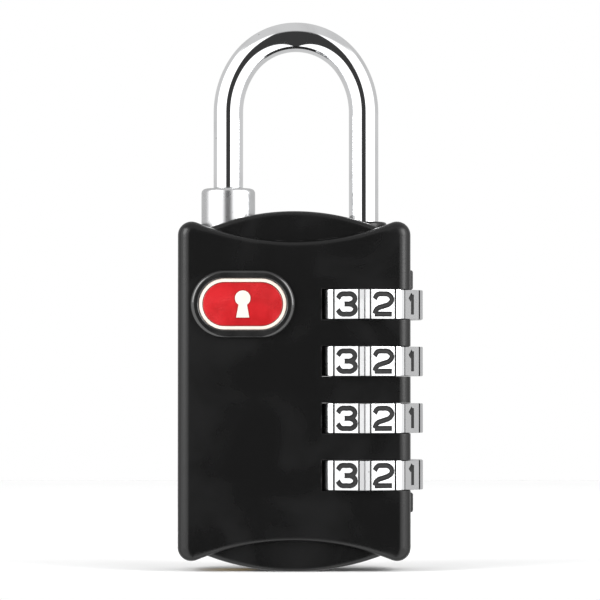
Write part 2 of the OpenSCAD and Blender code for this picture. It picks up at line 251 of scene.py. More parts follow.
# mask of edges found with the bevel trick and broken up by noise: real edge wear on the metals, and partly
# painted highlight where it lightens the black paint and badge
def makeEdgeWear():
    group, given, put = newGroup("edge wear and highlight", {"Radius": 0.0002, "Amount": 1.0}, ["Wear"])
    soft = addNode(group, "ShaderNodeBevel", {"Radius": given.outputs["Radius"]}, samples=6).outputs[0]
    true = addNode(group, "ShaderNodeNewGeometry").outputs["Normal"]
    facing = addNode(group, "ShaderNodeVectorMath", {0: soft, 1: true}, operation="DOT_PRODUCT")
    edge = remap(group, facing.outputs["Value"], 0.995, 0.9)
    spot = addNode(group, "ShaderNodeTexCoord").outputs["Object"]
    patch = addNode(group, "ShaderNodeTexNoise", {"Vector": spot, "Scale": 700.0, "Detail": 4.0}).outputs[0]
    wearAndHighlight = math2(group, "MULTIPLY", edge, remap(group, patch, 0.42, 0.62))
    group.links.new(math2(group, "MULTIPLY", wearAndHighlight, given.outputs["Amount"]), put.inputs["Wear"])
    return group


# fine drawn or turned lines: noise squeezed along one direction of the piece
def makeHairlines():
    group, given, put = newGroup("hairlines", {"Across": 9000.0, "Along": 150.0}, ["Height"])
    spot = addNode(group, "ShaderNodeTexCoord").outputs["Object"]
    along, across = given.outputs["Along"], given.outputs["Across"]
    squeeze = addNode(group, "ShaderNodeCombineXYZ", {"X": along, "Y": along, "Z": across}).outputs[0]
    stretched = addNode(group, "ShaderNodeVectorMath", {0: spot, 1: squeeze}, operation="MULTIPLY").outputs[0]
    lines = addNode(group, "ShaderNodeTexNoise", {"Vector": stretched, "Scale": 1.0, "Detail": 3.0})
    group.links.new(lines.outputs[0], put.inputs["Height"])
    return group


grainGroup, handlingGroup = makeGrain(), makeHandling()
edgeGroup, hairlineGroup = makeEdgeWear(), makeHairlines()


def newFinish(name, **plain):
    finish = bpy.data.materials.new(name)
    finish.use_nodes = True
    shader = finish.node_tree.nodes["Principled BSDF"]
    for label, value in plain.items():
        shader.inputs[label.replace("_", " ")].default_value = value
    return finish, finish.node_tree, shader


def useGroup(tree, group, **values):
    return addNode(tree, "ShaderNodeGroup", values, node_tree=group).outputs


def blendColour(tree, amount, first, second):
    made = addNode(tree, "ShaderNodeMix", data_type="RGBA")
    for slot, value in ((0, amount), (6, first), (7, second)):
        if isinstance(value, bpy.types.NodeSocket):
            tree.links.new(value, made.inputs[slot])
        else:
            made.inputs[slot].default_value = value
    return made.outputs[2]


def giveBump(tree, shader, height, depth, strength=1.0):
    bump = addNode(tree, "ShaderNodeBump", {"Height": height, "Distance": depth, "Strength": strength})
    tree.links.new(bump.outputs[0], shader.inputs["Normal"])


def grey(value, tint=(1, 1, 1)):
    return (value * tint[0], value * tint[1], value * tint[2], 1)


def makePaint():
    finish, tree, shader = newFinish("satin black paint", Specular_IOR_Level=0.38)
    touch = useGroup(tree, handlingGroup, Scale=90.0)
    wearAndHighlight = useGroup(tree, edgeGroup, Radius=0.00022, Amount=0.5)["Wear"]
    colour = blendColour(tree, touch["Smudge"], grey(0.0028), grey(0.0042, (1, 1, 1.04)))
    colour = blendColour(tree, touch["Speck"], colour, grey(0.05, (1, 0.98, 0.95)))
    # edges a lighter grey: partly real paint wear, partly painted highlight on the rounded edges
    colour = blendColour(tree, wearAndHighlight, colour, grey(0.045))
    tree.links.new(colour, shader.inputs["Base Color"])
    rough = remap(tree, touch["Smudge"], 0, 1, 0.26, 0.32)
    rubbed = math2(tree, "SUBTRACT", rough, math2(tree, "MULTIPLY", wearAndHighlight, 0.1))
    tree.links.new(rubbed, shader.inputs["Roughness"])
    giveBump(tree, shader, useGroup(tree, grainGroup, Scale=3200.0, Coarse=0.4)["Height"], 0.000012)
    return finish


def makeChrome(name, low, high, rough, spread, wear, lines):
    finish, tree, shader = newFinish(name, Metallic=1.0)
    touch = useGroup(tree, handlingGroup, Scale=160.0)
    wearAndHighlight = useGroup(tree, edgeGroup, Radius=0.00015, Amount=wear)["Wear"]
    colour = blendColour(tree, touch["Smudge"], grey(high, (0.985, 0.99, 1)), grey(low, (0.985, 0.99, 1)))
    colour = blendColour(tree, touch["Speck"], colour, grey(low * 0.6))
    tree.links.new(blendColour(tree, wearAndHighlight, colour, grey(low * 0.75)), shader.inputs["Base Color"])
    smeared = remap(tree, touch["Smudge"], 0, 1, rough, rough + spread)
    rubbed = math2(tree, "ADD", smeared, math2(tree, "MULTIPLY", wearAndHighlight, 0.15))
    tree.links.new(rubbed, shader.inputs["Roughness"])
    giveBump(tree, shader, useGroup(tree, hairlineGroup, Across=7000.0, Along=400.0)["Height"], lines)
    return finish


def makeNumeralAndShadePaint():
    finish, tree, shader = newFinish("black numeral paint and painted shade", Specular_IOR_Level=0.3)
    touch = useGroup(tree, handlingGroup, Scale=500.0)
    tree.links.new(blendColour(tree, touch["Smudge"], grey(0.008), grey(0.022)), shader.inputs["Base Color"])
    tree.links.new(remap(tree, touch["Smudge"], 0, 1, 0.5, 0.7), shader.inputs["Roughness"])
    giveBump(tree, shader, useGroup(tree, grainGroup, Scale=6000.0)["Height"], 0.00001)
    return finish


def makeBadgeBlack():
    finish, tree, shader = newFinish("gloss black badge", Coat_Weight=0.6, Coat_Roughness=0.05)
    touch = useGroup(tree, handlingGroup, Scale=220.0)
    wearAndHighlight = useGroup(tree, edgeGroup, Radius=0.00012, Amount=0.35)["Wear"]
    colour = blendColour(tree, touch["Smudge"], grey(0.009), grey(0.014))
    # edges a lighter grey: partly real wear, partly painted highlight along the bezel's rounded rims
    tree.links.new(blendColour(tree, wearAndHighlight, colour, grey(0.08)), shader.inputs["Base Color"])
    tree.links.new(remap(tree, touch["Smudge"], 0, 1, 0.14, 0.24), shader.inputs["Roughness"])
    giveBump(tree, shader, useGroup(tree, grainGroup, Scale=1800.0)["Height"], 0.000006)
    return finish


def makeEnamel(name, deep, bright, rough, coat):
    finish, tree, shader = newFinish(name, Coat_Weight=coat, Coat_Roughness=0.06)
    touch = useGroup(tree, handlingGroup, Scale=260.0)
    pool = useGroup(tree, grainGroup, Scale=900.0, Coarse=0.7)["Height"]
    colour = blendColour(tree, remap(tree, pool, 0.35, 0.65), deep, bright)
    tree.links.new(colour, shader.inputs["Base Color"])
    tree.links.new(remap(tree, touch["Smudge"], 0, 1, rough, rough + 0.12), shader.inputs["Roughness"])
    giveBump(tree, shader, pool, 0.00001)
    return finish


def makeMetal(name, dark, light, rough, grainScale, depth, lines=True):
    finish, tree, shader = newFinish(name, Metallic=1.0)
    touch = useGroup(tree, handlingGroup, Scale=350.0)
    wearAndHighlight = useGroup(tree, edgeGroup, Radius=0.0001, Amount=0.6)["Wear"]
    colour = blendColour(tree, touch["Smudge"], light, dark)
    tree.links.new(blendColour(tree, wearAndHighlight, colour, [min(1, c * 1.25) for c in light[:3]] + [1]),
                   shader.inputs["Base Color"])
    tree.links.new(remap(tree, touch["Smudge"], 0, 1, rough, rough + 0.15), shader.inputs["Roughness"])
    if lines:
        height = useGroup(tree, hairlineGroup, Across=grainScale)["Height"]
    else:
        height = useGroup(tree, grainGroup, Scale=grainScale)["Height"]
    giveBump(tree, shader, height, depth)
    return finish


paint = makePaint()
shackleChrome = makeChrome("polished chrome", 0.8, 0.9, 0.05, 0.05, 0.2, 0.0000008)
collarChrome = makeChrome("collar chrome", 0.62, 0.74, 0.18, 0.1, 0.5, 0.000002)
dialChrome = makeChrome("dial chrome", 0.58, 0.68, 0.27, 0.08, 0.4, 0.000003)
# black paint for the numerals, which also fills the corner grooves beside the ridges as painted shade
numeralAndShadePaint = makeNumeralAndShadePaint()
badgeBlack = makeBadgeBlack()
redEnamel = makeEnamel("red enamel", (0.34, 0.008, 0.010, 1), (0.47, 0.016, 0.02, 1), 0.16, 0.8)
creamEnamel = makeEnamel("cream enamel", (0.66, 0.57, 0.50, 1), (0.76, 0.68, 0.61, 1), 0.3, 0.3)
brass = makeMetal("turned brass", (0.5, 0.33, 0.12, 1), (0.72, 0.53, 0.22, 1), 0.22, 6000.0, 0.000004)
zinc = makeMetal("cast zinc", (0.36, 0.37, 0.39, 1), (0.52, 0.53, 0.55, 1), 0.4, 2600.0, 0.00002, lines=False)
springSteel = makeMetal("spring steel", (0.3, 0.3, 0.31, 1), (0.5, 0.5, 0.52, 1), 0.25, 3000.0, 0.000003)
print("finishes made")

# the two halves of the body

housing = {
    "smileRadius": 34.0, "smileDip": 3.92, "cornerRadius": 1.75,
    "edgeRound": 1.6, "smileRound": 0.9, "seamRound": 0.07,
    "archTopRadius": 29.0, "archBottomRadius": 31.9, "archHalfWidth": 13.0, "archDepth": 5.3,
    "archRound": 0.75,
    "bossRadius": 3.0, "bossTop": 45.24, "bossTall": 4, "bossRound": 0.35,
    "bumpHeights": (36.4, 7.5), "bumpTall": 2.55, "bumpOut": 0.45, "bumpHalf": 0.9, "bumpRound": 0.3,
    "windowRadius": 8.5, "windowTall": 3.94, "windowTrim": 0.07,
    # bores as radius, low and high: round the spindle, then round the short leg
    "dialBores": ((4.26, 7.95, 38.07), (3.8, 4.2, 8.75), (3.3, 38.0, 42.75), (1.98, 41.75, 46.24)),
    "legBores": ((3.3, -1, 2.65), (4.05, 2.6, 19.25), (3.2, 18.45, 37), (4.7, 32.5, 41.5),
                 (3.56, 40.5, 47.47)),
    # rooms as two corners: the detent leaf's from the dials' axis,
    # the wafer springs' and the collar key's from the short leg's
    "leafRoom": ((-9.5, -2.7, 9.01), (-7.9, 2.7, 37.8)),
    "springRoom": ((0, -0.85, 8), (4.75, 0.85, 16.1)),
    "keyRoom": ((0, -0.75, 32.5), (5.8, 0.75, 38.7)),
}


def plateOutline(bm):
    radius, corner = housing["smileRadius"], housing["cornerRadius"]
    side, top = lock["halfWidth"], lock["height"]
    cornerX = side - corner
    half = math.asin(cornerX / (radius + corner))  # the corners run smoothly into the smile
    middle = top - housing["smileDip"] + radius
    high = middle - (radius + corner) * math.cos(half)
    low, smile, turn = top - high, -2 * math.degrees(half), 90 + math.degrees(half)
    vert = startAt(bm, (-radius * math.sin(half), 0, middle - radius * math.cos(half)))
    vert = arc(bm, vert, (0, 0, middle), smile, 28)
    vert = arc(bm, vert, (cornerX, 0, high), turn, 12)
    vert = runTo(bm, vert, (side, 0, low))
    vert = arc(bm, vert, (cornerX, 0, low), turn, 12)
    vert = arc(bm, vert, (0, 0, top - middle), smile, 28)
    vert = arc(bm, vert, (-cornerX, 0, low), turn, 12)
    vert = runTo(bm, vert, (-side, 0, high))
    arc(bm, vert, (-cornerX, 0, high), turn, 12)
    return closeOutline(bm)


# outline pushed to the face, its rim rounded more at the sides than along the smile
def makePlate(side):
    h = housing
    bm = bmesh.new()
    front = side * lock["halfThick"]
    push(bm, plateOutline(bm), (0, front, 0))
    weight = bm.edges.layers.float.new("bevel_weight_edge")
    for edge in bm.edges:
        ys = [v.co.y for v in edge.verts]
        if abs(ys[0] - ys[1]) > 1:
            continue
        x = abs(sum(v.co.x for v in edge.verts) / 2)
        ramp = min(1, max(0, (x - lock["halfWidth"] + 4) / 2.2))
        width = h["smileRound"] + ramp * (h["edgeRound"] - h["smileRound"])
        edge[weight] = (width if abs(ys[0]) > 1 else h["seamRound"]) / h["edgeRound"]
    plate = asObject(bm, "plate", paint)
    rounding = plate.modifiers.new("rims", "BEVEL")
    rounding.width = h["edgeRound"]
    rounding.segments = 6
    rounding.limit_method = "WEIGHT"
    rounding.use_clamp_overlap = False
    return bake(plate)


def makeArch(side):
    h = housing
    bm = bmesh.new()
    x = h["archHalfWidth"]
    topAngle = math.degrees(math.asin(x / h["archTopRadius"]))
    lowAngle = math.degrees(math.asin(x / h["archBottomRadius"]))
    topMiddle = lock["height"] - h["archTopRadius"]
    left = topMiddle + h["archTopRadius"] * math.cos(math.radians(topAngle))
    right = h["archBottomRadius"] * (1 - math.cos(math.radians(lowAngle)))
    vert = arc(bm, startAt(bm, (-x, 0, left)), (0, 0, topMiddle), 2 * topAngle, 40)
    vert = runTo(bm, vert, (x, 0, right))
    arc(bm, vert, (0, 0, h["archBottomRadius"]), 2 * lowAngle, 40)
    push(bm, closeOutline(bm), (0, side * h["archDepth"], 0))
    rim = [e for e in bm.edges if all(abs(v.co.y) > 1 for v in e.verts) and e.calc_length() < 5]
    seam = [e for e in bm.edges if all(abs(v.co.y) < 1 for v in e.verts) and e.calc_length() < 5]
    soften(bm, rim, h["archRound"], 5, clamp=False)
    soften(bm, [e for e in seam if e.is_valid], h["seamRound"], 2, clamp=False)
    return asObject(bm, "arch", paint)


# keeps what lies on one side of the seam and closes the cut
def halve(bm, side):
    cut = bmesh.ops.bisect_plane(bm, geom=bm.verts[:] + bm.edges[:] + bm.faces[:], dist=1e-5,
                                 plane_co=(0, 0, 0), plane_no=(0, -side, 0), clear_outer=True,
                                 clear_inner=False)
    bmesh.ops.edgenet_fill(bm, edges=[e for e in cut["geom_cut"] if isinstance(e, bmesh.types.BMEdge)])


def makeBoss(side):
    h = housing
    bm = bmesh.new()
    addDisc(bm, dialX, h["bossRadius"], h["bossTop"] - h["bossTall"], h["bossTop"], 72)
    soften(bm, [e for e in bm.edges if all(v.co.z > h["bossTop"] - 0.1 for v in e.verts)], h["bossRound"], 3)
    halve(bm, side)
    return asObject(bm, "boss", paint)


# index mark that the numbers are read against
def makeBump(side, low):
    h = housing
    bm = bmesh.new()
    face = lock["halfWidth"]
    addBlock(bm, (face - 0.7, -h["bumpHalf"], low), (face + h["bumpOut"], h["bumpHalf"], low + h["bumpTall"]))
    soften(bm, [e for e in bm.edges if all(v.co.x > face for v in e.verts)], h["bumpRound"], 4)
    halve(bm, side)
    return asObject(bm, "bump", paint)


# raised badge on the front, with a keyhole mark
badge = {
    "width": 13.4, "height": 8.7, "out": 0.8,
    "rim": 1.0, "edgeRound": 0.5, "rimInnerRound": 0.15, "floorThick": 0.1,
    "seatInset": 0.6, "seatDeep": 0.4, "lipInset": 0.65, "lipDeep": 0.35, "lipThick": 0.4,
    "ringInset": 1.05, "ringInner": 1.5, "ringSunk": 0.2, "ringRound": 0.1,
    "fieldInset": 1.55, "enamelSunk": 0.28, "fieldRound": 0.12,
    "headRadius": 1.0, "headUp": 0.75, "footHalf": 0.85, "footDown": 1.75, "footMeets": 33,
    "keyholeSunk": 0.16, "keyholeRound": 0.08, "keyholeGap": 0.04,
}


def stadium(bm, inset, y):
    radius = badge["height"] / 2 - inset
    x, z = (badge["width"] - badge["height"]) / 2, dialHeights[0]
    vert = startAt(bm, (lock["badgeX"] - x, y, z + radius))
    vert = runTo(bm, vert, (lock["badgeX"] + x, y, z + radius))
    vert = arc(bm, vert, (lock["badgeX"] + x, y, z), 180, 28)
    vert = runTo(bm, vert, (lock["badgeX"] - x, y, z - radius))
    arc(bm, vert, (lock["badgeX"] - x, y, z), 180, 28)
    return closeOutline(bm)


def housingTools(side):
    h = housing
    tools = [discTool(dialX, h["windowRadius"], z - h["windowTall"] / 2, z + h["windowTall"] / 2, 160)
             for z in dialHeights]
    tools += [discTool(dialX, *bore) for bore in h["dialBores"]]
    tools += [discTool(legX, *bore, 96) for bore in h["legBores"]]
    for x, room in ((dialX, "leafRoom"), (legX, "springRoom"), (legX, "keyRoom")):
        low, high = h[room]
        tools.append(blockTool((x + low[0], *low[1:]), (x + high[0], *high[1:])))
    if side < 0:
        bm = bmesh.new()  # seat of the badge
        push(bm, stadium(bm, badge["seatInset"], -lock["halfThick"] - 1), (0, 1 + badge["seatDeep"], 0))
        tools.append(asObject(bm))
    return tools


# takes the sharp edge off each dial window, where it meets the outer skin
def trimWindows(half):
    bm = bmesh.new()
    bm.from_mesh(half.data)
    bmesh.ops.remove_doubles(bm, verts=bm.verts[:], dist=1e-4)
    tall = housing["windowTall"] / 2
    windowStart = dialX - math.sqrt(housing["windowRadius"] ** 2 - lock["halfThick"] ** 2) - 0.01
    picked = []
    for edge in bm.edges:
        if len(edge.link_faces) != 2 or edge.calc_face_angle(0) < 0.6:
            continue
        a, b = (v.co for v in edge.verts)
        level = any(abs(abs(a.z - z) - tall) < 1e-3 and abs(abs(b.z - z) - tall) < 1e-3 for z in dialHeights)
        upright = all(abs(p.x - windowStart) < 0.02 and abs(p.y) > 6.49 for p in (a, b))
        if upright or level and all((abs(p.y) > 4.8 or p.x > 14.9) and p.x > windowStart for p in (a, b)):
            picked.append(edge)
    soften(bm, picked, housing["windowTrim"])
    bm.to_mesh(half.data)
    bm.free()


def makeHousing(name, side):
    half = makePlate(side)
    half.name = half.data.name = name
    bumps = [makeBump(side, low) for low in housing["bumpHeights"]]
    shape(half, "UNION", [makeArch(side), makeBoss(side)] + bumps)
    shape(half, "DIFFERENCE", housingTools(side))
    trimWindows(half)
    return half


settle(makeHousing("front_shell", -1), "housing", ["front_housing"], sharp=32)
settle(makeHousing("rear_shell", 1), "housing", ["rear_housing"], sharp=32)

# shackle: one bar from the short leg's tip, over the crown and down to the spindle

shackle = {
    "radius": 1.92, "neckRadius": 1.67, "tip": 46.4,
    # radius and height up the rounded tip, its neck and the shoulder above it
    "upLeg": ((1.38, 46.46), (1.55, 46.62), (1.64, 46.8), (1.67, 47.0), (1.67, 49.55),
              (1.8, 49.62), (1.88, 49.66), (1.92, 49.74), (1.92, 54.5)),
    "spring": 59.552, "sideBend": 11.0, "sideAngle": 35, "crownRise": 1.523,
    "legEnd": 38.2, "spindleRadius": 1.6, "foot": 7.2,
    "finReach": 2.8, "finWide": 1.2, "finTall": 1.5, "finDrop": 0.735,
}


def makeShackle():
    s = shackle
    bm = bmesh.new()
    ring = bmesh.ops.create_circle(bm, cap_ends=True, segments=56, radius=s["neckRadius"] - 0.5)["verts"]
    bmesh.ops.translate(bm, vec=(legX, 0, s["tip"]), verts=ring)
    loop = list({e for v in ring for e in v.link_edges})
    middle = (legX + dialX) / 2

    # grows the bar's end ring to a new radius and height
    def follow(edges, x, radius, z):
        grown = bmesh.ops.extrude_edge_only(bm, edges=edges)["geom"]
        verts = vertsOf(grown)
        old = sum((v.co for v in verts), Vector()) / len(verts)
        size = (verts[0].co - old).length
        bmesh.ops.translate(bm, vec=-old, verts=verts)
        bmesh.ops.scale(bm, vec=(radius / size, radius / size, 1), verts=verts)
        bmesh.ops.translate(bm, vec=(x, 0, z), verts=verts)
        return [e for e in grown if isinstance(e, bmesh.types.BMEdge)]

    def bendBy(edges, x, z, degrees, steps):
        verts = list({v for e in edges for v in e.verts})
        turned = bmesh.ops.spin(bm, geom=verts + edges, cent=(x, 0, z), axis=(0, 1, 0), dvec=(0, 0, 0),
                                angle=math.radians(degrees), steps=steps, use_merge=False,
                                use_normal_flip=False, use_duplicate=False)
        return [e for e in turned["geom_last"] if isinstance(e, bmesh.types.BMEdge)]

    for radius, z in (*s["upLeg"], (s["radius"], s["spring"])):
        loop = follow(loop, legX, radius, z)
    bendIn = s["sideBend"] - (dialX - legX) / 2
    loop = bendBy(loop, middle + bendIn, s["spring"], s["sideAngle"], 14)
    loop = bendBy(loop, middle, s["spring"] + s["crownRise"], 180 - 2 * s["sideAngle"], 48)
    loop = bendBy(loop, middle - bendIn, s["spring"], s["sideAngle"], 14)
    for radius, z in ((s["radius"], 50.0), (s["radius"], s["legEnd"] + 0.15), (1.8, s["legEnd"] + 0.02),
                      (s["spindleRadius"], s["legEnd"]), (s["spindleRadius"], s["foot"] + 0.4),
                      (1.5, s["foot"] + 0.12), (1.25, s["foot"])):
        loop = follow(loop, dialX, radius, z)
    bmesh.ops.edgenet_fill(bm, edges=loop)
    bar = asObject(bm, "shackle_bar", shackleChrome)
    fins = []
    for z in dialHeights:
        fin = bmesh.new()
        low = z + s["finDrop"]
        addBlock(fin, (dialX + 1.2, -s["finWide"] / 2, low),
                 (dialX + s["finReach"], s["finWide"] / 2, low + s["finTall"]))
        soften(fin, [e for e in fin.edges if all(v.co.x > dialX + 2 for v in e.verts)], 0.15, 2)
        fins.append(asObject(fin))
    return shape(bar, "UNION", fins)


settle(makeShackle(), "shackle", ["shackle"], sharp=40)

# collar round the short leg

collar = {
    "radius": 3.5, "top": 49.6, "round": 0.6, "bore": 1.98, "cup": 46.1,
    "flange": 4.5, "flangeLow": 37.0, "flangeTall": 1.2, "lipRound": 0.2,
    "keyHalf": 0.7, "keyReach": (4, 5.6),
    "stem": 1.5, "stemLow": 26, "feet": (1.6, 2.6), "feetHalf": 0.4, "feetFrom": 24.45, "barTop": 27.2,
}


def makeCollar():
    c = collar
    low, shelf, shoulder = c["flangeLow"], c["flangeLow"] + c["flangeTall"], c["top"] - c["round"]
    bm = bmesh.new()
    vert = startAt(bm, (legX, 0, low))
    vert = runTo(bm, vert, (legX + c["flange"] - 0.1, 0, low), (legX + c["flange"], 0, low + 0.1),
                 (legX + c["flange"], 0, shelf), (legX + c["radius"], 0, shelf),
                 (legX + c["radius"], 0, shoulder))
    vert = arc(bm, vert, (legX + c["radius"] - c["round"], 0, shoulder), -90, 8)
    vert = runTo(bm, vert, (legX + c["bore"] + c["lipRound"], 0, c["top"]))
    vert = arc(bm, vert, (legX + c["bore"] + c["lipRound"], 0, c["top"] - c["lipRound"]), -90, 4)
    runTo(bm, vert, (legX + c["bore"], 0, c["cup"]), (legX, 0, c["cup"]))
    lathe(bm, legX)
    piece = asObject(bm, "collar_turned", collarChrome)
    keyFrom, keyTo = c["keyReach"]
    inner, outer = c["feet"]
    half = c["feetHalf"]
    tools = [discTool(legX, c["stem"], c["stemLow"], low + 0.3),
             blockTool((legX + keyFrom, -c["keyHalf"], low), (legX + keyTo, c["keyHalf"], shelf)),
             blockTool((legX - outer, -half, c["stemLow"]), (legX + outer, half, c["barTop"]))]
    for near, far in ((inner, outer), (-outer, -inner)):
        tools.append(blockTool((legX + near, -half, c["feetFrom"]), (legX + far, half, c["stemLow"] + 0.1)))
    return shape(piece, "UNION", tools)


settle(makeCollar(), "collar", ["release_collar"], sharp=40)

# number dials

dial = {
    "radius": 7.95, "shoulder": 7.83, "flat": 7.6, "tall": 3.8, "bore": 4.26, "ridge": 12.0, "places": 10,
    "crestRound": 0.12, "rimRound": 0.1,
    "numeralWide": 2.42, "numeralTall": 2.58, "penRadius": 0.42, "penLift": 0.25,
    "lineWide": 0.24, "lineOut": 0.03, "lineDeep": 0.1,
    "notchWide": 1.3, "notchReach": 5.15,
}

# strokes of each numeral in a box from -1 to 1, with round strokes through their points
numerals = {
    0: [[(-1, 0), (-0.75, 0.85), (0, 1), (0.75, 0.85), (1, 0), (0.75, -0.85), (0, -1), (-0.75, -0.85),
         (-1, 0)]],
    1: [[(-0.45, 0.45), (0.1, 1)], [(0.1, 1), (0.1, -1)]],
    2: [[(-0.95, 0.5), (-0.6, 0.95), (0, 1), (0.6, 0.95), (1, 0.5), (0.75, 0.05), (0.1, -0.2), (-0.7, -0.5),
         (-0.95, -1)], [(-0.95, -1), (1, -1)]],
    3: [[(-0.95, 0.55), (-0.6, 0.96), (0, 1), (0.65, 0.95), (0.95, 0.5), (0.6, 0.08), (-0.2, 0)],
        [(-0.2, 0), (0.65, -0.08), (1, -0.52), (0.65, -0.95), (0, -1), (-0.6, -0.96), (-0.98, -0.55)]],
    4: [[(0.45, -1), (0.45, 1)], [(0.45, 1), (-1, -0.4)], [(-1, -0.4), (1, -0.4)]],
    5: [[(0.85, 1), (-0.75, 1)], [(-0.75, 1), (-0.88, 0.05)],
        [(-0.88, 0.05), (-0.3, 0.28), (0.5, 0.2), (0.95, -0.35), (0.55, -0.92), (-0.1, -1), (-0.95, -0.6)]],
    6: [[(0.8, 0.72), (0.2, 1), (-0.5, 0.88), (-0.95, 0.1), (-0.85, -0.6), (-0.2, -1), (0.5, -0.93),
         (0.95, -0.4), (0.5, 0.12), (-0.2, 0.16), (-0.85, -0.3)]],
    7: [[(-0.95, 1), (0.95, 1)], [(0.95, 1), (0.15, 0.1), (-0.25, -1)]],
    8: [[(0, 0.05), (-0.72, 0.3), (-0.68, 0.82), (0, 1), (0.68, 0.82), (0.72, 0.3), (0, 0.05), (-0.9, -0.25),
         (-0.85, -0.8), (0, -1), (0.85, -0.8), (0.9, -0.25), (0, 0.05)]],
}
numerals[9] = [[(-x, -y) for x, y in stroke] for stroke in numerals[6]]


# round-ended strokes that cut the numerals into the flats and leave their paint behind
def makePens():
    d = dial
    joined = bmesh.new()
    for number, strokes in numerals.items():
        line = bpy.data.curves.new("pen", "CURVE")
        line.dimensions = "3D"
        line.bevel_depth = d["penRadius"]
        line.bevel_resolution = 3
        line.resolution_u = 3
        line.use_fill_caps = True
        for stroke in strokes:
            spline = line.splines.new("BEZIER")
            spline.bezier_points.add(len(stroke) - 1)
            for point, (x, y) in zip(spline.bezier_points, stroke):
                point.co = (x * d["numeralWide"] / 2, y * d["numeralTall"] / 2, 0)
                point.handle_left_type = point.handle_right_type = "AUTO"
        thing = bpy.data.objects.new("pen", line)
        bpy.context.scene.collection.objects.link(thing)
        bpy.context.view_layer.update()
        drawn = bpy.data.meshes.new_from_object(thing.evaluated_get(bpy.context.evaluated_depsgraph_get()))
        turn = Matrix.Rotation(math.radians(-360 / d["places"] * number), 4, "Z")
        stand = Matrix(((0, 0, 1, d["flat"] + d["penLift"]), (1, 0, 0, 0), (0, 1, 0, 0), (0, 0, 0, 1)))
        drawn.transform(turn @ stand)
        joined.from_mesh(drawn)
        bpy.data.objects.remove(thing)
    bmesh.ops.remove_doubles(joined, verts=joined.verts[:], dist=1e-4)
    return asObject(joined, "pens", numeralAndShadePaint)


# dark paint-filled grooves in the corners between each flat and its ridges: partly numeral paint residue,
# partly painted shade for the shaded step walls
def makeResidueAndShadeLines(wide):
    d = dial
    joined = bmesh.new()
    for k in range(d["places"]):
        for side in (-wide - d["lineOut"], wide + d["lineOut"]):
            line = addBlock(joined, (d["flat"] - d["lineDeep"], side - d["lineWide"] / 2, -3),
                            (d["radius"], side + d["lineWide"] / 2, 3))
            bmesh.ops.rotate(joined, cent=(0, 0, 0), verts=line,
                             matrix=Matrix.Rotation(math.tau / d["places"] * k, 3, "Z"))
    return asObject(joined, "lines", numeralAndShadePaint)


def makeDial():
    d = dial
    bm = bmesh.new()
    step = 360 / d["places"]
    ridge = math.radians(d["ridge"] / 2)
    wide = d["radius"] * math.sin(math.radians(step / 2) - ridge)

    # out along a flat's angle, turned about the dial's axis
    def outAt(radius, degrees, across=0.0):
        return Matrix.Rotation(math.radians(degrees), 3, "Z") @ Vector((radius, across, 0))

    # one flat, then a grip ridge with two low slopes and a rounded crest
    runTo(bm, startAt(bm, outAt(d["flat"], 0, -wide)), outAt(d["flat"], 0, wide),
          outAt(d["shoulder"], (step - d["ridge"]) / 2), outAt(d["radius"], step / 2),
          outAt(d["shoulder"], (step + d["ridge"]) / 2), outAt(d["flat"], step, -wide))
    bmesh.ops.spin(bm, geom=bm.verts[:] + bm.edges[:], cent=(0, 0, 0), axis=(0, 0, 1), dvec=(0, 0, 0),
                   angle=math.tau, steps=d["places"], use_merge=False, use_normal_flip=False,
                   use_duplicate=True)
    half = d["tall"] / 2
    bmesh.ops.translate(bm, vec=(0, 0, -half), verts=bm.verts[:])
    push(bm, closeOutline(bm), (0, 0, d["tall"]))
    crests = [e for e in bm.edges if abs(e.verts[0].co.z - e.verts[1].co.z) > 1
              and e.verts[0].co.xy.length > d["radius"] - 0.01]
    soften(bm, crests, d["crestRound"], 3)
    rims = [e for e in bm.edges if abs(e.verts[0].co.z - e.verts[1].co.z) < 1e-3]
    soften(bm, rims, d["rimRound"], 2, clamp=False)
    piece = asObject(bm, "number_dial", dialChrome)
    tools = [discTool(0, d["bore"], -half - 1, half + 1, 80)]
    for k in range(d["places"]):
        notch = bmesh.new()
        addBlock(notch, (3, -d["notchWide"] / 2, -3), (d["notchReach"], d["notchWide"] / 2, 3))
        bmesh.ops.rotate(notch, cent=(0, 0, 0), matrix=Matrix.Rotation(math.radians(step * k), 3, "Z"),
                         verts=notch.verts[:])
        tools.append(asObject(notch))
    shape(piece, "DIFFERENCE", tools + [makeResidueAndShadeLines(wide)])
    return shape(piece, "DIFFERENCE", [makePens()], selfCrossing=True)


firstDial = makeDial()
for k, z in enumerate(dialHeights):
    piece = firstDial.copy()
    piece.data = firstDial.data.copy()
    piece.name = piece.data.name = f"number_dial_{k + 1}"
    bpy.context.scene.collection.objects.link(piece)
    piece.data.transform(Matrix.Translation((dialX, 0, z)))
    settle(piece, f"dial_{k + 1}_set", [f"dial_{k + 1}"], sharp=30)
bpy.data.objects.remove(firstDial)

# badge

# edges that lie on a piece's front and turn by more than bend
def frontEdges(bm, front, bend=-1):
    level = [e for e in bm.edges if all(v.co.y < front + 0.01 for v in e.verts)]
    return [e for e in level if e.calc_face_angle(0) > bend]


def reshape(thing, change):
    bm = bmesh.new()
    bm.from_mesh(thing.data)
    change(bm)
    bm.to_mesh(thing.data)
    bm.free()


